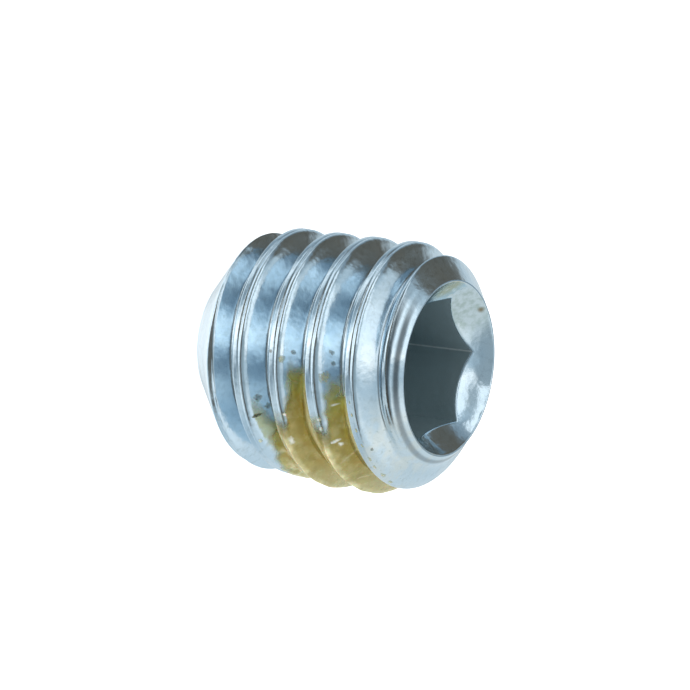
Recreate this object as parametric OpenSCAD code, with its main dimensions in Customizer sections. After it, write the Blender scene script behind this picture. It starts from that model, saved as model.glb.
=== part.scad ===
// Hexagon socket set screw (grub screw) with a thread-locking patch.
// The screw stands on its point: +Z runs along its axis towards the socket, and the point end is at z = 0.

/* [Thread] */
// Major diameter, over the thread crests
thread_d = 9.27; // [9.2:0.01:9.6]
// Axial distance from one thread turn to the next
thread_pitch = 1.5875; // [1.3:0.05:1.8]
// Width of the flat on the thread crests
crest_w = 0.41; // [0.2:0.01:0.5]
// Width of the flat at the bottom of the thread groove
root_w = 0.16; // [0.1:0.01:0.25]
// Slope of each thread flank from the plane square to the axis, in degrees
flank_slope = 30; // [27:0.5:35]
// Height of the lowest thread crest on the +X side
thread_start_z = 0.31; // [0:0.01:1.2]

/* [Body] */
// Overall length, from the point end to the socket end
screw_len = 9.525; // [9.4:0.025:16]
// Diameter of the small end, where the point chamfer stops
point_d = 5.24; // [4.8:0.02:5.6]
// Width of the flat rim around the cup in the point
point_rim_w = 0.2; // [0.1:0.02:0.5]
// Slope of the cup's wall from the plane square to the axis, in degrees
cup_slope = 31; // [20:1:35]
// Slope of the point chamfer from the plane square to the axis, in degrees
point_chamfer_slope = 42; // [35:1:50]
// Diameter of the narrow land above the point chamfer, where the first crest is not filled out
lead_d = 8.92; // [8.7:0.02:9.1]
// Length of that land along the axis
lead_w = 0.3; // [0.1:0.05:0.8]
// Slope of the socket end's chamfer from the plane square to the axis, in degrees
end_chamfer_slope = 39; // [20:1:45]
// Width of the flat rim around the socket's mouth
end_rim_w = 0.06; // [0.03:0.01:0.3]

/* [Socket] */
// Width of the hexagon across its flats
hex_w = 4.7625; // [4.2:0.05:5]
// Depth of the hexagon's walls below the socket end
hex_depth = 4.3; // [3:0.1:5]
// Turn of the hexagon about the axis, in degrees
hex_turn = 47; // [0:0.5:60]
// Width of the ledge between the hexagon's flats and the pilot hole under it
pilot_ledge_w = 0.18; // [0.05:0.01:0.5]
// Slope of the pilot hole's conical floor, in degrees
pilot_slope = 31; // [10:1:35]
// Diameter of the rounded countersink at the socket end
mouth_d = 6.5; // [6.1:0.02:6.8]
// Diameter of the ball shape that the countersink follows
mouth_ball_d = 7.55; // [7.2:0.05:9]

/* [Locking patch] */
// Thickness of the patch over the thread crests
patch_crest_t = 0.3; // [0.05:0.01:0.4]
// Thickness of the patch at the bottom of the thread groove
patch_root_t = 0.42; // [0.2:0.02:0.6]
// Height of the middle of the patch on the +X side
patch_z = 5.6; // [5:0.1:6.5]
// Extent of the patch along the axis
patch_h = 4.7; // [3:0.1:5]
// Angle about the axis at which the middle groove's fill begins, in degrees
patch_start = -84; // [-100:1:-40]
// How much later the groove nearer the point begins, in degrees
patch_lower_lag = 24; // [2:1:40]
// How much later the groove nearer the socket begins, in degrees
patch_upper_lag = 10; // [2:1:40]
// Angle about the axis at which the patch ends, in degrees
patch_end = 58; // [20:1:90]

/* [Hidden] */
$fn = 96;

// Straight steps in one turn of the thread
steps_per_turn = 40;
step_angle = 360 / steps_per_turn;
// How far a cut runs past the surface that it opens
over = 0.2;

thread_r = thread_d / 2;
thread_depth = (thread_pitch - crest_w - root_w) / 2 / tan(flank_slope);
root_r = thread_r - thread_depth;
// Past the crests the thread's groove widens until half of the crest's width is left between turns
groove_outer_r = thread_r + crest_w / 4 / tan(flank_slope);
// The groove lies half a pitch above the crest that it follows
groove_start_z = thread_start_z + thread_pitch / 2;
turns_below = ceil(groove_start_z / thread_pitch) + 1;
turns_above = ceil((screw_len - groove_start_z) / thread_pitch) + 1;

point_r = point_d / 2;
cup_r = point_r - point_rim_w;
cup_depth = cup_r * tan(cup_slope);
lead_r = lead_d / 2;
point_chamfer_h = (lead_r - point_r) * tan(point_chamfer_slope);
lead_end_z = point_chamfer_h + lead_w;
full_crest_z = lead_end_z + (thread_r - lead_r) * tan(point_chamfer_slope);
end_rim_r = mouth_d / 2 + end_rim_w;
end_chamfer_h = (thread_r - end_rim_r) * tan(end_chamfer_slope);

hex_r = hex_w / 2 / cos(30);
hex_floor_z = screw_len - hex_depth;
pilot_r = hex_w / 2 - pilot_ledge_w;
pilot_depth = pilot_r * tan(pilot_slope);
mouth_ball_r = mouth_ball_d / 2;
mouth_ball_z = screw_len + sqrt(pow(mouth_ball_r, 2) - pow(mouth_d / 2, 2));

patch_r = thread_r + patch_crest_t;
patch_low_z = patch_z - patch_h / 2;
patch_high_z = patch_z + patch_h / 2;
patch_lower_start = patch_start + patch_lower_lag;
patch_upper_start = patch_start + patch_upper_lag;
// The turn of the groove in the middle of the patch, and how many turns the patch reaches each way
patch_turn = round((patch_z - groove_start_z) / thread_pitch);
patch_reach = ceil(patch_h / thread_pitch / 2) + 1;

// A point that follows the thread's helix as the angle grows
function along_helix(r, z, angle) =
    [r * cos(angle), r * sin(angle), z + thread_pitch * angle / 360];

// Height of the crest above a turn of the groove, at an angle about the axis
function crest_z(turn, angle) = groove_start_z + thread_pitch * (turn + 0.5 + angle / 360);

// Triangles between rings of points that follow each other, with a flat face over the first and last ring
function tiled_faces(rings, ring_size) = concat(
    [[for (j = [0 : ring_size - 1]) j]],
    [
        for (i = [0 : rings - 2], j = [0 : ring_size - 1])
            let (
                a = i * ring_size + j,
                b = i * ring_size + (j + 1) % ring_size
            )
            each [[a, a + ring_size, b + ring_size], [a, b + ring_size, b]]
    ],
    [[for (j = [ring_size - 1 : -1 : 0]) (rings - 1) * ring_size + j]]
);

// A helical groove with sloping flanks, as a solid that is taken out of something round
module helical_groove(floor_r, outer_r, first_turn, last_turn) {
    outer_w = root_w + 2 * (outer_r - floor_r) * tan(flank_slope);
    section = [
        [outer_r, -outer_w / 2],
        [floor_r, -root_w / 2],
        [floor_r, root_w / 2],
        [outer_r, outer_w / 2]
    ];
    steps = (last_turn - first_turn) * steps_per_turn;
    points = [
        for (i = [0 : steps], p = section)
            along_helix(p[0], p[1] + groove_start_z, 360 * first_turn + step_angle * (i + 0.5))
    ];
    polyhedron(points, tiled_faces(steps + 1, len(section)));
}

// The turned blank: cup point, point chamfer, narrow land, full diameter and the socket end's chamfer
module turned_blank() {
    rotate_extrude()
        polygon([
            [0, cup_depth],
            [cup_r, 0],
            [point_r, 0],
            [lead_r, point_chamfer_h],
            [lead_r, lead_end_z],
            [thread_r, full_crest_z],
            [thread_r, screw_len - end_chamfer_h],
            [end_rim_r, screw_len],
            [0, screw_len]
        ]);
}

module threaded_blank() {
    difference() {
        turned_blank();
        helical_groove(root_r, groove_outer_r, -turns_below, turns_above);
    }
}

// The hexagon with its pilot hole below and its rounded countersink above
module socket_cut() {
    translate([0, 0, hex_floor_z])
        rotate([0, 0, hex_turn])
            cylinder(h = hex_depth + over, r = hex_r, $fn = 6);
    translate([0, 0, hex_floor_z - pilot_depth])
        cylinder(h = pilot_depth, r1 = 0, r2 = pilot_r);
    translate([0, 0, mouth_ball_z])
        sphere(r = mouth_ball_r);
}

module screw_body() {
    color([0.70, 0.77, 0.82])
        difference() {
            threaded_blank();
            socket_cut();
        }
}

// A slice of a tube about the axis
module ring_sector(inner_r, outer_r, low_z, high_z, start, end) {
    rotate([0, 0, start])
        rotate_extrude(angle = end - start)
            translate([inner_r, low_z])
                square([outer_r - inner_r, high_z - low_z]);
}

// Takes away the start of the patch between two heights, so that the fill there begins at a later angle
module late_start(low_z, high_z, start) {
    ring_sector(root_r - 2 * over, patch_r + over, low_z, high_z, patch_start - step_angle, start);
}

// The patch follows the thread, with a shallower groove of its own, and is seated on the metal all over
module locking_patch() {
    color([0.62, 0.56, 0.30])
        difference() {
            ring_sector(root_r - over, patch_r, patch_low_z, patch_high_z, patch_start, patch_end);
            threaded_blank();
            helical_groove(
                root_r + patch_root_t,
                patch_r + over,
                patch_turn - patch_reach,
                patch_turn + patch_reach
            );
            late_start(patch_low_z - over, crest_z(patch_turn - 1, patch_lower_start), patch_lower_start);
            late_start(crest_z(patch_turn, patch_upper_start), patch_high_z + over, patch_upper_start);
        }
}

screw_body();
locking_patch();
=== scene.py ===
"""Looks of a hexagon socket set screw with a thread-locking patch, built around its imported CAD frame."""

import math

import bpy
import numpy as np
from mathutils import Matrix, Vector, noise


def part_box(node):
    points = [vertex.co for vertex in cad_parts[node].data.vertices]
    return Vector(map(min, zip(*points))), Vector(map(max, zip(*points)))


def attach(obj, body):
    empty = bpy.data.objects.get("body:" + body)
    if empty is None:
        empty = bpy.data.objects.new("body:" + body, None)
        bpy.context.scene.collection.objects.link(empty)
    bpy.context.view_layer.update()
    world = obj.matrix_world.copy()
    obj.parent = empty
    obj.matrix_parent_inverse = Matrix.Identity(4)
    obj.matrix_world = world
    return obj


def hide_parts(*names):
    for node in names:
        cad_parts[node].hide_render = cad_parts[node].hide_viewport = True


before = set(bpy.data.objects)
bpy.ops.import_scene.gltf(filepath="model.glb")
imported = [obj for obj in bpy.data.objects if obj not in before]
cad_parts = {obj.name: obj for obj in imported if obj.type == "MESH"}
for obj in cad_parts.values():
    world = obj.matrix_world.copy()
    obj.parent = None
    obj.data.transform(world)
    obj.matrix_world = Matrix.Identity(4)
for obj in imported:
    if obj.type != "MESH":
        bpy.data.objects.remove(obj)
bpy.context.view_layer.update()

# Sizes are in millimetres and angles in degrees; meshes are scaled to metres when they are made
MM = 0.001

# Thread
body_low, body_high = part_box("screw_body")
SCREW_LEN = (body_high.z - body_low.z) / MM
THREAD_R = (body_high.x - body_low.x) / MM / 2
PITCH = 1.5875
CREST_W = 0.41
ROOT_W = 0.16
FLANK_SLOPE = 30
FLANK_TAN = math.tan(math.radians(FLANK_SLOPE))
THREAD_START_Z = 0.31
ROOT_R = THREAD_R - (PITCH - CREST_W - ROOT_W) / 2 / FLANK_TAN
# The last full turn sits a little nearer to the socket than its pitch says, and the run-out turn less so
LAST_TURN_SHIFT = 0.14
LAST_TURN_Z = (6.0, 7.6)
RUN_OUT_SHIFT = 0.05
RUN_OUT_Z = (8.2, 9.2)
# Crests are rounded more on their side towards the socket
CREST_ROUND = 0.24
CREST_ROUND_BELOW = 0.05
ROOT_ROUND = 0.10
# A furrow runs along each crest, wavers a little and is worn to this share of its depth on the +X side
FURROW_DEPTH = 0.033
FURROW_W = 0.052
FURROW_OFFSET = 0.03
FURROW_WAVER = 0.008
FURROW_WORN = 0.45

# Ends: both are turned a little off the thread's axis, towards -X
POINT_R = 2.62
POINT_RIM_W = 0.2
POINT_CHAMFER_SLOPE = 42
POINT_SHIFT = 0.10
LEAD_R = 4.46
LEAD_W = 0.3
LEAD_TAPER = 20
CUP_SLOPE = 31
END_RIM_R = 3.31
END_CHAMFER_SLOPE = 39
END_SHIFT = 0.07
CHAMFER_ROUND = 0.06
# The thread is rounded where it runs out on the socket end's chamfer, most on the flank below each crest
END_ROUND = 0.4
END_FLANK_ROUND = 0.75
# Shallow lines around the socket end's chamfer, painted dark as shade on top of their slight dip, as
# (distance from the rim, width)
END_LINES = [(0.15, 0.17), (0.45, 0.20)]
END_LINE_DEPTH = 0.012
END_LINE_SOFT = 0.05

# Socket
HEX_W = 4.7625
HEX_TURN = 47
HEX_DEPTH = 4.3
HEX_CORNER_ROUND = 0.04
MOUTH_R = 3.25
MOUTH_BALL_R = 3.95
PILOT_R = 2.2
PILOT_SLOPE = 31

# Narrow rings that keep the edges of the ends crisp
MOUTH_EDGE_W = 0.02
MOUTH_EDGE_DROP = 0.006
HEX_EDGE_W = 0.03
HEX_BEVEL_W = 0.006
HEX_BEVEL_DROP = 0.012
HEX_EDGE_DROP = 0.05
CUP_EDGE_W = 0.03
CUP_EDGE_DROP = 0.01

# Zones of the screw's surface
OUTSIDE = 0
COUNTERSINK = 1
WALL = 2
FLOOR = 3

# Locking patch: angles are counted from the side that faces the camera, towards +X
patch_low, patch_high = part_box("locking_patch")
PATCH_LOW_Z = patch_low.z / MM
PATCH_HIGH_Z = patch_high.z / MM
PATCH_R = patch_high.x / MM
PATCH_ROOT_T = 0.42
PATCH_ROOT_ROUND = 0.45
PATCH_FLANK_T = 0.06
PATCH_END = 148
FRONT_ANGLE = -90
# Length of one degree around the crests
DEGREE = math.radians(1) * THREAD_R
# The ridge over each crest: how far it is past the crest's middle, and its slopes on both sides
RIDGE_OFFSET = 0.17
RIDGE_RISE = 0.61
RIDGE_RISE_ROUND = 0.1
RIDGE_FALL = 1.25
RIDGE_ROUND = 0.05
# Where the patch begins, as (turn of the thread, angle)
PATCH_EDGE = [
    (1.70, 150), (1.95, 88), (2.05, 70), (2.12, 56), (2.20, 50), (2.25, 45),
    (2.40, 41), (2.60, 35), (2.80, 27), (2.92, 25),
    (3.12, 27), (3.17, 10), (3.24, 0), (3.50, 0), (3.85, 7), (3.92, 24),
    (4.12, 28), (4.17, 14), (4.26, 4), (4.50, 5), (4.80, 15), (4.84, 150),
]
# Distances around the screw count for less than those along it, so that the patch starts softly
START_SOFTNESS = 0.2
# The coat grows from its least share to its full thickness between two angles, later in the upper groove
GROWTH_LEAST = 0.15
GROWTH_SIDES = (8, 46)
UPPER_LAG = 8
UPPER_TURN = (3.9, 4.1)
# Below these turns the coat is broken and lumpy
BROKEN_TURN = (2.75, 2.55)
LUMP_HEIGHT = 0.03
BROKEN_LUMP_HEIGHT = 0.08
# Dark specks and thin pools outside it, as (angle, turn of the thread, radius)
PATCH_SPECKS = [
    (27, 2.30, 0.26), (33.5, 2.40, 0.24), (1, 3.33, 0.18),
    (-1.5, 4.33, 0.17), (4, 4.35, 0.15), (47, 5.17, 0.14),
]
PATCH_POOLS = [
    (4.5, 3.17, 0.22), (11, 4.25, 0.36), (20.5, 4.97, 0.12), (26.5, 4.98, 0.15), (34.5, 5.00, 0.14),
    (43, 5.02, 0.15), (52, 5.04, 0.20), (58, 5.03, 0.16), (66, 5.05, 0.24), (74, 5.04, 0.20),
]
PATCH_SPECK_T = 0.03
SPECK_RAGGED = 0.4
# Painted glints on small raised bumps in it, and one dark mark, as (angle, turn of the thread, length, width,
# tone)
PATCH_FLECKS = [
    (44, 3.20, 0.17, 0.06, 1), (43.5, 4.28, 0.06, 0.12, 1), (46, 4.34, 0.08, 0.05, 1),
    (25.5, 4.36, 0.04, 0.09, 1), (31, 3.17, 0.07, 0.06, 1), (50, 2.14, 0.09, 0.06, 1),
    (31, 4.10, 0.06, 0.05, 1), (36, 4.09, 0.08, 0.05, 1), (36, 2.23, 0.09, 0.12, -1),
]
FLECK_HEIGHT = 0.02
FLECK_RAGGED = 0.6
# Raised creases across it, as two places of (angle, turn of the thread)
PATCH_CREASES = [((56, 4.23), (53, 4.52)), ((71.5, 4.26), (73.5, 4.37)), ((60, 2.45), (74, 2.62))]
CREASE_HEIGHT = 0.035
CREASE_W = 0.035
# The patch's skin dips this far under the metal at its edge
SUNK = 0.02
EDGE_MARGIN = 0.06

# Places of stains and marks on the metal
MOUTH_STAIN = (-2.4, 1.5, 9.0)
MOUTH_BEIGE = (-3.05, -0.3, 9.3)
MOUTH_BROWN = (-2.42, 2.1, 9.33)
END_STAIN = (3.4, -2.1, 8.9)
CREST_NICK = (0.12, -4.62, 4.55)
# Depth of the plate's soft unevenness
PLATE_BUMP = 0.009

# Light colours
GLARE = (1.75, 1.66, 1.56)
WHITE = (1.45, 1.38, 1.30)
BRIGHT = (1.15, 1.18, 1.18)
SOFT = (0.92, 0.96, 0.97)
PALE = (0.70, 0.76, 0.78)
SKY = (0.50, 0.59, 0.64)
SHADE = (0.26, 0.32, 0.36)
GAP = (0.34, 0.40, 0.43)
DARK = (0.13, 0.12, 0.10)

# Mesh fineness
COLUMNS = 168
ROWS_PER_TURN = 76
CREST_DENSITY = 0.45
SHARP_ANGLE = 32
PATCH_SEEN = (-8, 95)
PATCH_SEEN_STEP = 0.45
PATCH_HIDDEN_STEP = 1.2
PATCH_ROW_STEP = 0.035
# How far the patch's grid goes past the patch's end, below it and above it
GRID_PAST_END = 4
GRID_BELOW = 0.6
GRID_ABOVE = 0.9
# Rows closer than this to an end are drawn together on its rim, and carry its number
RIM_SNAP = 0.015
AT_POINT = -1
AT_SOCKET = -2


def smooth_min(a, b, blend):
    """The smaller of two values, rounded off where they are nearly the same"""
    return np.minimum(a, b) - np.maximum(blend - np.abs(a - b), 0) ** 2 / (4 * blend)


def smooth_max(a, b, blend):
    """The larger of two values, rounded off where they are nearly the same"""
    return -smooth_min(-a, -b, blend)


def smooth_step(start, end, value):
    """0 before the start and 1 past the end, with a smooth climb between them; the end may be the smaller"""
    share = np.clip((value - start) / (end - start), 0, 1)
    return share * share * (3 - 2 * share)


def noise_field(points, scale, seed):
    """Smooth noise from -1 to 1 at an array of points in millimetres, with lumps of the given size"""
    shift = Vector((seed * 17.3, seed * 5.1, seed * 9.7))
    values = [noise.noise(Vector(p) / scale + shift) for p in points.reshape(-1, 3)]
    return np.array(values).reshape(points.shape[:-1])


def on_cylinder(radius, angle, z):
    """Points from radius, angle in radians and height"""
    return np.stack([radius * np.cos(angle), radius * np.sin(angle), z + 0 * angle], axis=-1)


def off_axis(radius, shift, angle):
    """Radius, seen from the thread's axis, of a circle whose centre is moved towards -X"""
    return radius - shift * np.cos(angle)


def thread_turn(angle, z):
    """Turns of the thread from its first crest up to a place, which is a whole number on each crest"""
    shift = LAST_TURN_SHIFT * smooth_step(*LAST_TURN_Z, z)
    shift = shift + (RUN_OUT_SHIFT - LAST_TURN_SHIFT) * smooth_step(*RUN_OUT_Z, z)
    return (z - shift - THREAD_START_Z) / PITCH - angle / (2 * math.pi)


def crest_offset(angle, z):
    """Axial distance from the middle of the nearest thread crest"""
    turn = thread_turn(angle, z)
    return PITCH * (turn - np.round(turn))


def metal_radius(angle, z):
    """Radius of the rolled thread with its end chamfers, at an angle in radians and a height"""
    offset = crest_offset(angle, z)
    flank = THREAD_R - (np.abs(offset) - CREST_W / 2) / FLANK_TAN
    below = smooth_min(flank, THREAD_R, CREST_ROUND_BELOW)
    above = smooth_min(flank, THREAD_R, CREST_ROUND)
    thread = smooth_max(np.where(offset < 0, below, above), ROOT_R, ROOT_ROUND)
    thread = thread - furrow_depth(angle, z, offset)
    thread = smooth_min(thread, end_radius(angle, z), run_out_round(angle, offset))
    return smooth_min(thread, point_radius(angle, z), CHAMFER_ROUND)


def furrow_depth(angle, z, offset):
    """Depth of the wavering furrow along each crest"""
    waver = FURROW_WAVER * np.sin(7 * angle + 1.3 * z) + FURROW_WAVER / 2 * np.sin(17 * angle + 2.1 * z)
    furrow = np.exp(-(((offset - FURROW_OFFSET - waver) / FURROW_W) ** 2))
    worn = FURROW_WORN + (1 - FURROW_WORN) * smooth_step(0.35, -0.35, np.cos(angle))
    return FURROW_DEPTH * worn * (1 + 0.2 * np.sin(11 * angle + 0.7 * z)) * furrow


def run_out_round(angle, offset):
    """How much the thread is rounded against the socket end's chamfer: more on lower flanks, but not at -X"""
    on_flank = smooth_step(-0.1, -0.35, offset) * smooth_step(-0.75, -0.55, offset)
    on_flank = on_flank * smooth_step(-0.95, -0.5, np.cos(angle))
    return END_ROUND + (END_FLANK_ROUND - END_ROUND) * on_flank


def from_end_rim(z):
    """How far out from its rim the socket end's chamfer is at a height"""
    return (SCREW_LEN - z) / math.tan(math.radians(END_CHAMFER_SLOPE))


def end_radius(angle, z):
    """Radius that the socket end's chamfer leaves, with the shallow lines around it"""
    chamfer = off_axis(END_RIM_R, END_SHIFT, angle) + from_end_rim(z)
    return chamfer - END_LINE_DEPTH * end_line(angle, z)


def end_line(angle, z):
    """1 in a line around the socket end's chamfer and 0 beside it; weaker at +X and gone at -X"""
    line = 0 * z
    for start, width in END_LINES:
        from_edge = np.abs(from_end_rim(z) - start - width / 2) - width / 2
        line = np.maximum(line, smooth_step(END_LINE_SOFT, -END_LINE_SOFT, from_edge))
    facing = np.cos(angle)
    shown = smooth_step(-0.85, -0.35, facing)
    return line * shown * (1 - 0.45 * smooth_step(0.2, 0.9, facing))


def chamfer_line_shade(points):
    """How much painted shade each point of the thread gets from a line on the socket end's chamfer"""
    angle = np.arctan2(points[:, 1], points[:, 0])
    radius = np.hypot(points[:, 0], points[:, 1])
    under_chamfer = end_radius(angle, points[:, 2]) - radius
    return smooth_step(0.06, 0.02, under_chamfer) * end_line(angle, points[:, 2])


def groove_depth(points):
    """How deep in the thread's groove each point lies, which sets the plate's painted shade there: 1 at the
    root, 0 at the crest and at the socket end
    """
    radius = np.hypot(points[:, 0], points[:, 1])
    groove_top = 0.30 * ROOT_R + 0.70 * THREAD_R
    clear_of_end = smooth_step(SCREW_LEN - 0.45, SCREW_LEN - 0.75, points[:, 2])
    return smooth_step(groove_top, ROOT_R, radius) * clear_of_end


def point_radius(angle, z):
    """Radius that the point chamfer leaves, with its narrow land and the step up to the full crest"""
    slope = math.tan(math.radians(POINT_CHAMFER_SLOPE))
    land_start = (LEAD_R - POINT_R) * slope
    chamfer = off_axis(POINT_R, POINT_SHIFT, angle) + z / slope
    land = LEAD_R - np.maximum(z - land_start, 0) * math.tan(math.radians(LEAD_TAPER))
    step = LEAD_R + (z - land_start - LEAD_W) / slope
    return smooth_max(smooth_min(chamfer, land, CHAMFER_ROUND), step, CHAMFER_ROUND)


def hex_radius(angle):
    """Distance from the axis to the hexagon's wall, with its corners rounded a little"""
    from_flat = np.mod(angle - math.radians(HEX_TURN), math.pi / 3) - math.pi / 6
    corner_r = HEX_W / 2 / math.cos(math.pi / 6)
    return smooth_min(HEX_W / 2 / np.cos(from_flat), corner_r, HEX_CORNER_ROUND)


def mouth_z(radius, angle):
    """Height of the rounded countersink at a radius"""
    from_centre = radius + END_SHIFT * np.cos(angle)
    ball_z = SCREW_LEN + math.sqrt(MOUTH_BALL_R**2 - MOUTH_R**2)
    return ball_z - np.sqrt(MOUTH_BALL_R**2 - from_centre**2)


def socket_rings(angle):
    """Rings of (radius, height, zone) from the socket end's rim down to the socket's floor"""
    flat = 0 * angle
    wall = hex_radius(angle)
    mouth = off_axis(MOUTH_R, END_SHIFT, angle)
    edge_z = mouth_z(wall, angle)
    wall_top = edge_z - HEX_EDGE_DROP
    floor_z = SCREW_LEN - HEX_DEPTH
    rings = [
        (mouth + MOUTH_EDGE_W, flat + SCREW_LEN, OUTSIDE),
        (mouth, flat + SCREW_LEN - MOUTH_EDGE_DROP, COUNTERSINK),
    ]
    for share in np.linspace(0.02, 1, 16):
        radius = mouth + (wall + HEX_EDGE_W - mouth) * share
        rings.append((radius, mouth_z(radius, angle), COUNTERSINK))
    rings.append((wall + HEX_BEVEL_W, edge_z - HEX_BEVEL_DROP, COUNTERSINK))
    for share in np.linspace(0, 1, 11):
        rings.append((wall, wall_top + (floor_z - wall_top) * share, WALL))
    for share in (0, *np.linspace(0.2, 0.95, 5)):
        cone_z = floor_z - PILOT_R * share * math.tan(math.radians(PILOT_SLOPE))
        rings.append((flat + PILOT_R * (1 - share), flat + cone_z, FLOOR))
    return rings


def cup_rings(angle):
    """Rings of (radius, height, zone) from the point's rim into the cup"""
    flat = 0 * angle
    cup_r = off_axis(POINT_R - POINT_RIM_W, POINT_SHIFT, angle)
    rings = [(cup_r + CUP_EDGE_W, flat, OUTSIDE), (cup_r, flat + CUP_EDGE_DROP, OUTSIDE)]
    for share in np.linspace(0.15, 0.95, 6):
        rings.append((cup_r * (1 - share), cup_r * share * math.tan(math.radians(CUP_SLOPE)), OUTSIDE))
    return rings


def turn_heights():
    """Heights of the thread's rows above the middle of a crest, closer together at the crest"""
    share = np.arange(ROWS_PER_TURN) / ROWS_PER_TURN
    return PITCH * (share - CREST_DENSITY * np.sin(2 * math.pi * share) / (2 * math.pi))


def thread_grid(angle):
    """Points of the thread's rows at every column, and a grid of their numbers"""
    turns = math.ceil(SCREW_LEN / PITCH) + 2
    heights = np.concatenate([THREAD_START_Z + PITCH * k + turn_heights() for k in range(-2, turns + 1)])
    z = heights[:, None] + PITCH * angle[None, :] / (2 * math.pi)
    inside = (z > RIM_SNAP) & (z < SCREW_LEN - RIM_SNAP)
    number = np.zeros(z.shape, int)
    number[z <= RIM_SNAP] = AT_POINT
    number[z >= SCREW_LEN - RIM_SNAP] = AT_SOCKET
    number[inside] = np.arange(inside.sum())
    angles = np.broadcast_to(angle, z.shape)[inside]
    points = on_cylinder(metal_radius(angles, z[inside]), angles, z[inside])
    return points, number


def cell_corners(grid):
    """The values at the four corners of each cell of a grid, in order around the cell"""
    return np.stack([grid[:-1, :-1], grid[:-1, 1:], grid[1:, 1:], grid[1:, :-1]], axis=-1)


def ring_quads(first, second):
    """Faces between two rings of vertex numbers"""
    return np.stack([first, np.roll(first, -1), np.roll(second, -1), second], axis=-1)


def tidy_faces(quads):
    """Faces with the corners that fall together taken out"""
    faces = []
    for quad in quads.tolist():
        face = list(dict.fromkeys(quad))
        if len(face) > 2:
            faces.append(face)
    return faces


def screw_mesh():
    """The whole screw as one closed mesh: thread, ends, cup and socket share the same columns"""
    angle = math.radians(HEX_TURN) + 2 * math.pi * np.arange(COLUMNS) / COLUMNS
    flat = 0 * angle
    points, number = thread_grid(angle)
    bottom = len(points) + np.arange(COLUMNS)
    top = bottom + COLUMNS
    number = np.where(number == AT_POINT, bottom, np.where(number == AT_SOCKET, top, number))
    blocks = [
        points,
        on_cylinder(off_axis(POINT_R, POINT_SHIFT, angle), angle, flat),
        on_cylinder(off_axis(END_RIM_R, END_SHIFT, angle), angle, flat + SCREW_LEN),
    ]
    zones = [np.zeros(len(points)), flat, flat]
    # One corner of the hexagon gets a painted highlight along its edge
    corner_highlight_shares = [np.zeros(len(points)), flat, flat]
    at_corner = np.arange(COLUMNS) == COLUMNS // 6

    # One turn on, the first column carries the rows that follow the last column
    rows = len(number) - ROWS_PER_TURN
    wrapped = np.concatenate([number[:rows], number[ROWS_PER_TURN:, :1]], axis=1)
    quads = [cell_corners(wrapped).reshape(-1, 4)]

    count = len(points) + 2 * COLUMNS
    socket_tip_z = SCREW_LEN - HEX_DEPTH - PILOT_R * math.tan(math.radians(PILOT_SLOPE))
    cup_tip_z = (POINT_R - POINT_RIM_W) * math.tan(math.radians(CUP_SLOPE))
    for last, rings, tip_z, tip_zone in (
        (top, socket_rings(angle), socket_tip_z, FLOOR),
        (bottom, cup_rings(angle), cup_tip_z, OUTSIDE),
    ):
        upward = last is top
        for radius, z, zone in rings:
            ring = count + np.arange(COLUMNS)
            blocks.append(on_cylinder(radius, angle, z))
            zones.append(flat + zone)
            corner_highlight_shares.append(at_corner * float(zone == WALL))
            quads.append(ring_quads(last, ring) if upward else ring_quads(ring, last))
            last = ring
            count += COLUMNS
        tip = np.full(COLUMNS, count)
        blocks.append(np.array([[0, 0, tip_z]]))
        zones.append(np.full(1, tip_zone))
        corner_highlight_shares.append(np.zeros(1))
        quads.append(ring_quads(last, tip) if upward else ring_quads(tip, last))
        count += 1
    # Painted shade along the lines of the socket end's chamfer
    lines = np.zeros(count)
    lines[:len(points)] = chamfer_line_shade(points)
    # Painted shade towards the roots of the grooves
    depths = np.zeros(count)
    depths[:len(points)] = groove_depth(points)
    values = {
        "zone": np.concatenate(zones), "corner_highlight": np.concatenate(corner_highlight_shares), "line": lines, "depth": depths,
    }
    return np.concatenate(blocks), tidy_faces(np.concatenate(quads)), values


def patch_grid():
    """Angles from the front, angles in radians and heights of the patch's grid, which follows the thread"""
    seen = np.arange(*PATCH_SEEN, PATCH_SEEN_STEP)
    hidden = np.arange(PATCH_SEEN[1], PATCH_END + GRID_PAST_END, PATCH_HIDDEN_STEP)
    side = np.concatenate([seen, hidden])
    height = np.arange(PATCH_LOW_Z - GRID_BELOW, PATCH_HIGH_Z + GRID_ABOVE, PATCH_ROW_STEP)
    angle = np.radians(side + FRONT_ANGLE)
    z = height[:, None] + PITCH * angle[None, :] / (2 * math.pi)
    return np.broadcast_to(side, z.shape), np.broadcast_to(angle, z.shape), z


def patch_profile(offset):
    """Outer radius of the full coat: it climbs to a crisp ridge on each crest and falls away above it"""
    past = offset - RIDGE_OFFSET
    climb = THREAD_R + PATCH_FLANK_T + (offset + CREST_W / 2) / FLANK_TAN
    rise = smooth_min(climb, PATCH_R + RIDGE_RISE * past, RIDGE_RISE_ROUND)
    coat = smooth_min(rise, PATCH_R - RIDGE_FALL * past, RIDGE_ROUND)
    return smooth_max(coat, ROOT_R + PATCH_ROOT_T, PATCH_ROOT_ROUND)


def surface_distance(side, turn, place_side, place_turn):
    """Distance along the surface from a place on the thread, in millimetres"""
    return np.hypot((side - place_side) * DEGREE, (turn - place_turn) * PITCH)


def line_distance(side, turn, start, end):
    """Distance along the surface from the line between two places, each (angle, turn)"""
    run_side = (end[0] - start[0]) * DEGREE
    run_turn = (end[1] - start[1]) * PITCH
    along = (side - start[0]) * DEGREE * run_side + (turn - start[1]) * PITCH * run_turn
    share = np.clip(along / (run_side**2 + run_turn**2), 0, 1)
    near_side = start[0] + (end[0] - start[0]) * share
    near_turn = start[1] + (end[1] - start[1]) * share
    return surface_distance(side, turn, near_side, near_turn)


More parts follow.
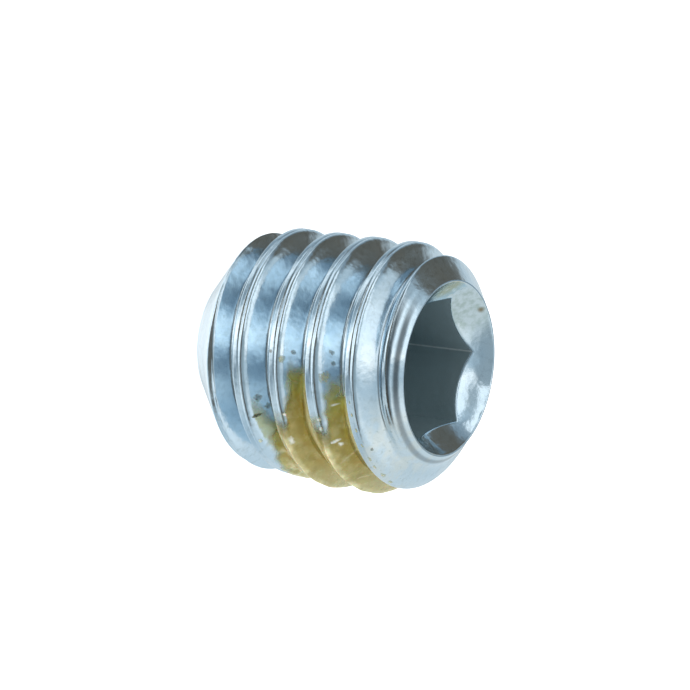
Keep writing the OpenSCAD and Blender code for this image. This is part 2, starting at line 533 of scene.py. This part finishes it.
def patch_cover(side, turn):
    """How far inside the patch's outline a place lies, in millimetres along the surface"""
    turns, starts = zip(*PATCH_EDGE)
    corners = [(start * START_SOFTNESS, edge_turn) for edge_turn, start in PATCH_EDGE]
    away = np.full(side.shape, PITCH)
    for start, end in zip(corners, corners[1:]):
        away = np.minimum(away, line_distance(side * START_SOFTNESS, turn, start, end))
    inside = side > np.interp(turn, turns, starts)
    return np.minimum(np.where(inside, away, -away), (PATCH_END - side) * DEGREE)


def speck_share(side, turn, specks, ragged):
    """1 in the middle of each speck and 0 at its uneven edge; specks lie on flanks, where turns are longer"""
    share = 0 * side
    climb = PITCH / math.sin(math.radians(FLANK_SLOPE))
    for speck_side, speck_turn, radius in specks:
        away = np.hypot((side - speck_side) * DEGREE, (turn - speck_turn) * climb)
        share = np.maximum(share, 1 - away / radius)
    return smooth_step(0, 0.9, share + ragged * (share > 0))


def crease_share(side, turn):
    """1 on a crease, falling to 0 beside it"""
    share = 0 * side
    for start, end in PATCH_CREASES:
        share = np.maximum(share, np.exp(-((line_distance(side, turn, start, end) / CREASE_W) ** 2)))
    return share


def fleck_tone(side, turn, ragged):
    """1 in a painted glint, -1 in a dark mark and 0 elsewhere, with uneven edges"""
    tone = 0 * side
    for fleck_side, fleck_turn, length, width, fleck in PATCH_FLECKS:
        away = np.hypot((side - fleck_side) * DEGREE / length, (turn - fleck_turn) * PITCH / width)
        tone = tone + fleck * smooth_step(1.6, 0.3, away + ragged)
    return tone


def coat_growth(side, turn, cover, broken):
    """Share of its full thickness that the coat has, from its thin start and its edge inwards"""
    late = UPPER_LAG * smooth_step(*UPPER_TURN, turn)
    growth = GROWTH_LEAST + (1 - GROWTH_LEAST) * smooth_step(*GROWTH_SIDES, side - late)
    return growth * smooth_step(-0.02, 0.30 + 0.35 * broken, cover)


def patch_opacity(side, turn, cover, lumpy, stain):
    """How opaque the film is: watery and blotchy where it starts, and half see-through in specks and pools"""
    most_watery = 0.35 + 0.25 * smooth_step(*UPPER_TURN, turn)
    watery = most_watery * smooth_step(34, 14, side) * (0.5 + 0.8 * lumpy)
    return np.maximum(smooth_step(0.03, 0.34, cover) * (1 - watery), 0.5 * stain)


def patch_paleness_and_painted_light(side, offset, broken, lumpy, crease, pool):
    """How pale the film is: painted light farther round and on its shaded climbing flanks, a painted
    highlight on creases, and paler on broken lumps and pools
    """
    # Painted light: paler farther round, towards the bright table, and on the climbing flanks that face down
    farther = 0.25 * smooth_step(55, 90, side)
    broken_pale = 0.45 * broken * lumpy * smooth_step(46, 60, side)
    climbing = smooth_step(0.45, 0.2, np.abs(offset + 0.42)) * (1 - 0.8 * broken)
    return np.maximum(farther + broken_pale + 0.3 * crease + 0.5 * climbing, 0.55 * pool)


def ridge_share(offset):
    """Share of the way from a ridge up to the next one, turned back to 0 shortly before that; it sets the
    patch's painted highlight and shade
    """
    past_ridge = np.mod(offset - RIDGE_OFFSET, PITCH) / PITCH
    return np.minimum(past_ridge, 4 * (1 - past_ridge))


def patch_mesh():
    """The patch as a closed skin whose edge thins out and dips just under the metal"""
    side, angle, z = patch_grid()
    metal = metal_radius(angle, z)
    turn = thread_turn(angle, z)
    offset = crest_offset(angle, z)
    points = on_cylinder(metal, angle, z)
    ragged = noise_field(points, 0.08, 11)
    lumpy = smooth_step(-0.2, 0.4, noise_field(points, 0.3, 12))
    cover = patch_cover(side, turn) + 0.10 * noise_field(points, 0.6, 3) + 0.05 * noise_field(points, 0.25, 4)
    broken = smooth_step(*BROKEN_TURN, turn)
    grown = coat_growth(side, turn, cover, broken)
    crease = crease_share(side, turn)
    fleck = fleck_tone(side, turn, FLECK_RAGGED * ragged)
    speck = speck_share(side, turn, PATCH_SPECKS, SPECK_RAGGED * ragged)
    pool = speck_share(side, turn, PATCH_POOLS, SPECK_RAGGED * ragged)
    stain = np.maximum(speck, pool)

    lumps = LUMP_HEIGHT * noise_field(points, 0.6, 7)
    lumps = lumps + BROKEN_LUMP_HEIGHT * broken * noise_field(points, 0.28, 8)
    full = np.maximum(patch_profile(offset) - metal, PATCH_FLANK_T) + lumps + CREASE_HEIGHT * crease
    coat = full * grown + FLECK_HEIGHT * np.abs(fleck)
    film = np.maximum(np.maximum(coat, PATCH_SPECK_T * stain), 0)
    outer = np.minimum(metal + film, PATCH_R) - SUNK * smooth_step(0.02, 0.0, film)

    values = {
        "thin": smooth_step(0.65, 0.10, grown),
        "opacity": patch_opacity(side, turn, cover, lumpy, stain),
        "speck": speck,
        "across": ridge_share(offset),
        "fleck": fleck,
        "pale": patch_paleness_and_painted_light(side, offset, broken, lumpy, crease, pool),
    }
    kept = (cover > -EDGE_MARGIN) | (film > 0)
    inner = metal - 3 * SUNK
    return closed_skin(kept, on_cylinder(outer, angle, z), on_cylinder(inner, angle, z), values)


def closed_skin(kept, outer, inner, values):
    """A closed mesh between two grids of points, over the cells whose corners are all kept"""
    number = np.arange(kept.size).reshape(kept.shape)
    skin = cell_corners(number)[cell_corners(kept).all(axis=-1)]
    used, packed = np.unique(skin, return_inverse=True)
    skin = packed.reshape(skin.shape)
    faces = skin.tolist() + (skin[:, ::-1] + len(used)).tolist()
    edges = {}
    for face in skin.tolist():
        for a, b in zip(face, face[1:] + face[:1]):
            edges[(a, b)] = True
    faces += [[b, a, a + len(used), b + len(used)] for a, b in edges if (b, a) not in edges]
    points = np.concatenate([outer.reshape(-1, 3)[used], inner.reshape(-1, 3)[used]])
    doubled = {name: np.tile(numbers.reshape(-1)[used], 2) for name, numbers in values.items()}
    return points, faces, doubled


def add_piece(name, node, shape, material):
    """A mesh object in metres that stands for a CAD node"""
    points, faces, values = shape
    mesh = bpy.data.meshes.new(name)
    mesh.from_pydata((points * MM).tolist(), [], faces)
    mesh.validate()
    for value_name, numbers in values.items():
        attribute = mesh.attributes.new(value_name, "FLOAT", "POINT")
        attribute.data.foreach_set("value", numbers.astype(np.float32))
    mesh.shade_smooth()
    mesh.set_sharp_from_angle(angle=math.radians(SHARP_ANGLE))
    mesh.materials.append(material)
    piece = bpy.data.objects.new(name, mesh)
    bpy.context.scene.collection.objects.link(piece)
    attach(piece, "root")
    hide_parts(node)


def new_material(name):
    """A material with nodes, and its shader"""
    material = bpy.data.materials.new(name)
    material.use_nodes = True
    return material, material.node_tree.nodes["Principled BSDF"]


def set_inputs(node, values):
    for name, value in values.items():
        node.inputs[name].default_value = value


def surface_coords(tree):
    """Object coordinates in millimetres"""
    coords = tree.nodes.new("ShaderNodeTexCoord")
    mapping = tree.nodes.new("ShaderNodeMapping")
    mapping.inputs["Scale"].default_value = [1 / MM] * 3
    tree.links.new(coords.outputs["Object"], mapping.inputs["Vector"])
    return mapping.outputs["Vector"]


def map_range(tree, value, near, far, low, high, smooth=False):
    """A value that goes from low to high as another one goes from near to far"""
    node = tree.nodes.new("ShaderNodeMapRange")
    node.interpolation_type = "SMOOTHSTEP" if smooth else "LINEAR"
    set_inputs(node, {"From Min": near, "From Max": far, "To Min": low, "To Max": high})
    tree.links.new(value, node.inputs["Value"])
    return node.outputs["Result"]


def noise_value(tree, coords, scale, detail=2.0, low=0.0, high=1.0, near=0.35, far=0.65):
    """Noise with the given number of lumps to a millimetre, spread between two values"""
    texture = tree.nodes.new("ShaderNodeTexNoise")
    set_inputs(texture, {"Scale": scale, "Detail": detail})
    tree.links.new(coords, texture.inputs["Vector"])
    return map_range(tree, texture.outputs["Fac"], near, far, low, high)


def math_value(tree, operation, first, second):
    """The result of an operation on two values, each a socket or a number"""
    node = tree.nodes.new("ShaderNodeMath")
    node.operation = operation
    for value, socket in zip((first, second), node.inputs):
        if isinstance(value, (int, float)):
            socket.default_value = value
        else:
            tree.links.new(value, socket)
    return node.outputs["Value"]


def mix_colour(tree, share, first, second):
    """A blend of two colours, each a socket or a colour's three numbers"""
    node = tree.nodes.new("ShaderNodeMix")
    node.data_type = "RGBA"
    tree.links.new(share, node.inputs["Factor"])
    for colour, socket in zip((first, second), (node.inputs[6], node.inputs[7])):
        if isinstance(colour, tuple):
            socket.default_value = (*colour, 1)
        else:
            tree.links.new(colour, socket)
    return node.outputs[2]


def colour_ramp(tree, value, stops):
    """Colours along a value from 0 to 1; each stop is (position, colour)"""
    node = tree.nodes.new("ShaderNodeValToRGB")
    node.color_ramp.interpolation = "EASE"
    elements = node.color_ramp.elements
    while len(elements) < len(stops):
        elements.new(1.0)
    for element, (position, colour) in zip(elements, stops):
        element.position = position
        element.color = (*colour, 1)
    tree.links.new(value, node.inputs["Fac"])
    return node.outputs["Color"]


def attribute_value(tree, name):
    """A value that the mesh carries at its points"""
    node = tree.nodes.new("ShaderNodeAttribute")
    node.attribute_name = name
    return node.outputs["Fac"]


def attribute_share(tree, name, most):
    """A value of the mesh from 0 to 1, brought to the range from 0 to the most"""
    return map_range(tree, attribute_value(tree, name), 0, 1, 0, most)


def near_point(tree, coords, point, inner, outer):
    """1 within the inner distance of a point in millimetres, falling to 0 at the outer distance"""
    distance = tree.nodes.new("ShaderNodeVectorMath")
    distance.operation = "DISTANCE"
    tree.links.new(coords, distance.inputs[0])
    distance.inputs[1].default_value = point
    return map_range(tree, distance.outputs["Value"], inner, outer, 1, 0, True)


def add_bump(tree, shader, height, depth):
    """Bump of the given depth in millimetres"""
    bump = tree.nodes.new("ShaderNodeBump")
    set_inputs(bump, {"Strength": 1, "Distance": depth * MM})
    tree.links.new(height, bump.inputs["Height"])
    tree.links.new(bump.outputs["Normal"], shader.inputs["Normal"])


def stained_mouth(tree, coords, tint):
    """The countersink's tint: greyish, mottled and beige at its edge on the -X side, with one brown spot"""
    mottled = noise_value(tree, coords, 4.2, 3.0, high=0.75, near=0.42, far=0.66)
    grey = mix_colour(tree, mottled, (0.66, 0.76, 0.80), (0.45, 0.55, 0.52))
    tint = mix_colour(tree, near_point(tree, coords, MOUTH_STAIN, 0.6, 2.0), tint, grey)
    pale = noise_value(tree, coords, 4.0, high=0.8, near=0.52, far=0.64)
    beige = mix_colour(tree, pale, (0.60, 0.58, 0.42), (0.85, 0.86, 0.78))
    tint = mix_colour(tree, near_point(tree, coords, MOUTH_BEIGE, 0.35, 1.0), tint, beige)
    brown = near_point(tree, coords, MOUTH_BROWN, 0.02, 0.20)
    return mix_colour(tree, brown, tint, (0.28, 0.24, 0.16))


def stained_end(tree, coords, tint):
    """The socket end on the +X side: pale greenish stains and a few dark pits"""
    stained = near_point(tree, coords, END_STAIN, 1.0, 3.2)
    clouds = noise_value(tree, coords, 1.8, 4.0, low=0.25, high=0.85, near=0.42, far=0.60)
    tint = mix_colour(tree, math_value(tree, "MULTIPLY", stained, clouds), tint, (0.76, 0.82, 0.81))
    pits = noise_value(tree, coords, 5.5, 3.0, high=0.5, near=0.60, far=0.74)
    return mix_colour(tree, math_value(tree, "MULTIPLY", stained, pits), tint, (0.46, 0.54, 0.52))


def zinc_material():
    """Bright bluish zinc plate: painted shade in the grooves, on the chamfer's lines and in the socket, a
    painted highlight on one hexagon corner, stained at the socket end and dull in the socket
    """
    material, shader = new_material("zinc_plate")
    tree = material.node_tree
    coords = surface_coords(tree)
    zone = attribute_value(tree, "zone")
    in_mouth = map_range(tree, zone, OUTSIDE, COUNTERSINK, 0, 1)
    in_socket = map_range(tree, zone, COUNTERSINK, WALL, 0, 1)

    clouds = noise_value(tree, coords, 0.8, 3.0)
    tint = mix_colour(tree, clouds, (0.69, 0.83, 0.93), (0.63, 0.79, 0.91))
    spots = noise_value(tree, coords, 4.5, 4.0, high=0.35, near=0.52, far=0.72)
    tint = mix_colour(tree, spots, tint, (0.44, 0.53, 0.58))
    # Painted shade: the plate is tinted darker towards the roots of the grooves
    tint = mix_colour(tree, attribute_share(tree, "depth", 0.25), tint, (0.38, 0.50, 0.60))
    tint = mix_colour(tree, in_mouth, tint, stained_mouth(tree, coords, tint))
    tint = stained_end(tree, coords, tint)
    nick = near_point(tree, coords, CREST_NICK, 0.02, 0.11)
    tint = mix_colour(tree, nick, tint, (0.26, 0.29, 0.30))
    # Painted shade: dark lines on the socket end's chamfer, over its real shallow lines
    tint = mix_colour(tree, attribute_share(tree, "line", 0.85), tint, (0.05, 0.065, 0.075))
    # Painted shade: the socket's walls and floor are tinted dark; they are also less metallic and duller
    tint = mix_colour(tree, in_socket, tint, (0.30, 0.39, 0.42))
    # Painted highlight along one corner of the hexagon's wall
    corner_highlight = map_range(tree, attribute_value(tree, "corner_highlight"), 0.45, 1, 0, 0.5, True)
    tint = mix_colour(tree, corner_highlight, tint, (0.95, 0.97, 0.97))
    tree.links.new(tint, shader.inputs["Base Color"])
    tree.links.new(map_range(tree, in_socket, 0, 1, 1, 0.5), shader.inputs["Metallic"])

    rough = noise_value(tree, coords, 1.6, 4.0, low=0.15, high=0.22)
    smoother_mouth = math_value(tree, "MULTIPLY", in_mouth, -0.05)
    duller_socket = math_value(tree, "MULTIPLY", in_socket, 0.40)
    rough = math_value(tree, "ADD", rough, smoother_mouth)
    rough = math_value(tree, "ADD", rough, duller_socket)
    tree.links.new(rough, shader.inputs["Roughness"])

    soft = noise_value(tree, coords, 1.3)
    fine = noise_value(tree, coords, 7.0, high=0.12)
    add_bump(tree, shader, math_value(tree, "ADD", soft, fine), PLATE_BUMP)
    return material


def patch_material():
    """Fused polymer, olive brown: a painted highlight on its ridges, painted shade between them, and
    see-through where it starts
    """
    material, shader = new_material("patch_polymer")
    tree = material.node_tree
    coords = surface_coords(tree)
    fleck = attribute_value(tree, "fleck")
    # Painted highlight on each ridge and painted shade between the ridges, along the share of the way from
    # one ridge to the next
    colour = colour_ramp(tree, attribute_value(tree, "across"), [
        (0.0, (1.0, 0.94, 0.62)),
        (0.03, (0.84, 0.77, 0.44)),
        (0.10, (0.50, 0.42, 0.15)),
        (0.30, (0.34, 0.25, 0.04)),
        (0.55, (0.26, 0.185, 0.02)),
        (1.0, (0.31, 0.24, 0.05)),
    ])
    green_clouds = noise_value(tree, coords, 1.2, high=0.45)
    colour = mix_colour(tree, green_clouds, colour, (0.31, 0.28, 0.06))
    brown_clouds = noise_value(tree, coords, 3.0, 3.0, high=0.50)
    colour = mix_colour(tree, brown_clouds, colour, (0.24, 0.18, 0.02))
    pale_spots = noise_value(tree, coords, 2.3, 3.0, high=0.30, near=0.52, far=0.66)
    colour = mix_colour(tree, pale_spots, colour, (0.52, 0.49, 0.24))
    colour = mix_colour(tree, attribute_share(tree, "thin", 0.85), colour, (0.44, 0.41, 0.07))
    # Paler film: painted light farther round and on climbing flanks, a painted highlight on creases, paler
    # lumps and pools
    colour = mix_colour(tree, attribute_value(tree, "pale"), colour, (0.74, 0.71, 0.46))
    colour = mix_colour(tree, attribute_value(tree, "speck"), colour, (0.08, 0.13, 0.13))
    # Painted glints on the pale flecks' small bumps, and one dark mark
    colour = mix_colour(tree, map_range(tree, fleck, 0.1, 1, 0, 1), colour, (0.85, 0.88, 0.80))
    colour = mix_colour(tree, map_range(tree, fleck, -0.1, -1, 0, 1), colour, (0.05, 0.06, 0.06))
    tree.links.new(colour, shader.inputs["Base Color"])
    marked = map_range(tree, math_value(tree, "ABSOLUTE", fleck, 0), 0.1, 1, 0, 0.85)
    opacity = math_value(tree, "MAXIMUM", attribute_value(tree, "opacity"), marked)
    tree.links.new(opacity, shader.inputs["Alpha"])
    rough = noise_value(tree, coords, 2.0, 3.0, low=0.18, high=0.34)
    tree.links.new(rough, shader.inputs["Roughness"])
    set_inputs(shader, {"IOR": 1.52, "Subsurface Weight": 0.25, "Subsurface Scale": 0.15 * MM})
    return material


def add_floor():
    """White floor; the metal mirrors the studio around it instead of the floor's own glow"""
    reach = 600 * MM
    mesh = bpy.data.meshes.new("floor")
    corners = [(-reach, -reach, 0), (reach, -reach, 0), (reach, reach, 0), (-reach, reach, 0)]
    mesh.from_pydata(corners, [], [(0, 1, 2, 3)])
    material, shader = new_material("floor_white")
    set_inputs(shader, {
        "Base Color": (0.9, 0.9, 0.9, 1),
        "Roughness": 0.9,
        "Emission Color": (1, 1, 1, 1),
        "Emission Strength": 0.8,
    })
    mesh.materials.append(material)
    floor = bpy.data.objects.new("floor", mesh)
    bpy.context.scene.collection.objects.link(floor)
    floor.visible_glossy = False


def overhead_colour(tree, x, z):
    """Long soft strips overhead that run from front to back; angles are from the zenith towards +X"""
    strips = [
        (-90, SHADE), (-58, SHADE), (-46, SKY), (-33, PALE), (-17, BRIGHT), (-5, WHITE),
        (2, PALE), (9, SKY), (20, PALE), (34, SOFT), (48, PALE), (90, PALE),
    ]
    angle = map_range(tree, math_value(tree, "ARCTAN2", x, z), -math.pi / 2, math.pi / 2, 0, 1)
    return colour_ramp(tree, angle, [(0.5 + degrees / 180, colour) for degrees, colour in strips])


def panel_share(tree, azimuth, z, middle, half_width, low, high, slant):
    """1 on a panel around an azimuth, between two heights that may slant, with soft edges"""
    edge_width = 11
    edge_height = 0.06
    from_middle = math_value(tree, "SUBTRACT", azimuth, math.radians(middle))
    across = math_value(tree, "ABSOLUTE", from_middle, 0)
    outside = math.radians(half_width + edge_width)
    beside = map_range(tree, across, math.radians(half_width), outside, 1, 0, True)
    height = math_value(tree, "SUBTRACT", z, math_value(tree, "MULTIPLY", from_middle, slant))
    above = map_range(tree, height, low - edge_height, low, 0, 1, True)
    below = map_range(tree, height, high, high + edge_height, 1, 0, True)
    return math_value(tree, "MULTIPLY", beside, math_value(tree, "MULTIPLY", above, below))


def back_screen_share(tree, x, y, z):
    """1 on a narrow screen behind the screw, above the horizon"""
    behind = map_range(tree, y, 0.5, 0.6, 0, 1)
    raised = map_range(tree, z, 0.25, 0.32, 0, 1)
    beside = map_range(tree, math_value(tree, "ABSOLUTE", x, 0), 0.2, 0.3, 1, 0)
    return math_value(tree, "MULTIPLY", math_value(tree, "MULTIPLY", behind, raised), beside)


def upper_colour(tree, x, y, z, azimuth):
    """The tent's upper half: strips overhead, a dim gap in front, three soft boxes and two darker screens"""
    in_front = map_range(tree, y, -0.15, -0.45, 0, 1, True)
    under_strips = map_range(tree, z, 0.92, 0.80, 0, 1, True)
    gap = math_value(tree, "MULTIPLY", in_front, under_strips)
    gap_colour = mix_colour(tree, map_range(tree, z, 0.35, 0.6, 0, 1, True), DARK, GAP)
    colour = mix_colour(tree, gap, overhead_colour(tree, x, z), gap_colour)
    # Light, azimuth of the middle, half of the width, lowest and highest height on the unit sphere, slant
    panels = [
        (BRIGHT, -54, 28, 0.40, 0.64, 0.24),
        (BRIGHT, -54, 30, 0.84, 0.98, 0.24),
        (PALE, -166, 12, -0.1, 0.40, 0.0),
        (DARK, -130, 19, -0.1, 0.60, 0.0),
    ]
    for light, *panel in panels:
        colour = mix_colour(tree, panel_share(tree, azimuth, z, *panel), colour, light)
    return mix_colour(tree, back_screen_share(tree, x, y, z), colour, SHADE)


def around_colour(tree, azimuth, z):
    """Panels around the screw that lean a little to one side, over a bright table"""
    panels = [
        (-180, PALE), (-155, PALE), (-138, SKY), (-115, SHADE), (-100, SHADE), (-84, BRIGHT),
        (-70, PALE), (-60, SHADE), (-50, SHADE), (-40, SKY), (-29, BRIGHT), (-14, GLARE),
        (2, SOFT), (18, SHADE), (50, PALE), (85, SKY), (125, PALE), (180, PALE),
    ]
    lean = math_value(tree, "MULTIPLY", math_value(tree, "ADD", z, 0.37), math.radians(40))
    angle = map_range(tree, math_value(tree, "ADD", azimuth, lean), -math.pi, math.pi, 0, 1)
    around = colour_ramp(tree, angle, [(0.5 + degrees / 360, colour) for degrees, colour in panels])
    return mix_colour(tree, map_range(tree, z, -0.64, -0.80, 0, 1, True), around, BRIGHT)


def add_world():
    """A light tent around the screw; azimuths are counted from the front towards +X"""
    world = bpy.data.worlds.new("studio")
    world.use_nodes = True
    tree = world.node_tree
    coords = tree.nodes.new("ShaderNodeTexCoord")
    split = tree.nodes.new("ShaderNodeSeparateXYZ")
    tree.links.new(coords.outputs["Generated"], split.inputs["Vector"])
    x, y, z = split.outputs
    azimuth = math_value(tree, "ARCTAN2", x, math_value(tree, "MULTIPLY", y, -1))
    lower = map_range(tree, z, 0.03, -0.03, 0, 1, True)
    upper = upper_colour(tree, x, y, z, azimuth)
    colour = mix_colour(tree, lower, upper, around_colour(tree, azimuth, z))
    background = tree.nodes["Background"]
    tree.links.new(colour, background.inputs["Color"])
    background.inputs["Strength"].default_value = 1
    bpy.context.scene.world = world


def add_fill_light():
    """A broad soft light on the patch's side, which is not mirrored in the metal"""
    direction = Vector((0.85, -0.55, 0.30)).normalized()
    distance = 200 * MM
    light = bpy.data.lights.new("fill_light", "AREA")
    light.size = 120 * MM
    light.energy = 0.12
    holder = bpy.data.objects.new("fill_light", light)
    bpy.context.scene.collection.objects.link(holder)
    holder.location = direction * distance + Vector((0, 0, SCREW_LEN * MM / 2))
    holder.rotation_euler = direction.to_track_quat("Z", "Y").to_euler()
    holder.visible_glossy = False


def add_camera():
    """The photo shows the screw lying, so the camera that looks down on the standing screw is rolled"""
    target = Vector((-0.446, 0.057, 4.857)) * MM
    distance = 203.2 * MM
    elevation = math.radians(31.28)
    roll = math.radians(97.18)
    camera = bpy.data.cameras.new("camera")
    camera.sensor_width = 36
    camera.lens = 281.74
    camera.clip_start = 0.005
    camera.clip_end = 5
    holder = bpy.data.objects.new("camera", camera)
    bpy.context.scene.collection.objects.link(holder)
    back = Vector((0, -math.cos(elevation), math.sin(elevation)))
    facing = Matrix.Rotation(math.pi / 2 - elevation, 4, "X") @ Matrix.Rotation(roll, 4, "Z")
    holder.matrix_world = Matrix.Translation(target + back * distance) @ facing
    bpy.context.scene.camera = holder


add_piece("threaded_body", "screw_body", screw_mesh(), zinc_material())
add_piece("polymer_patch", "locking_patch", patch_mesh(), patch_material())
add_floor()
add_world()
add_fill_light()
add_camera()
bpy.context.scene.view_settings.view_transform = "Standard"
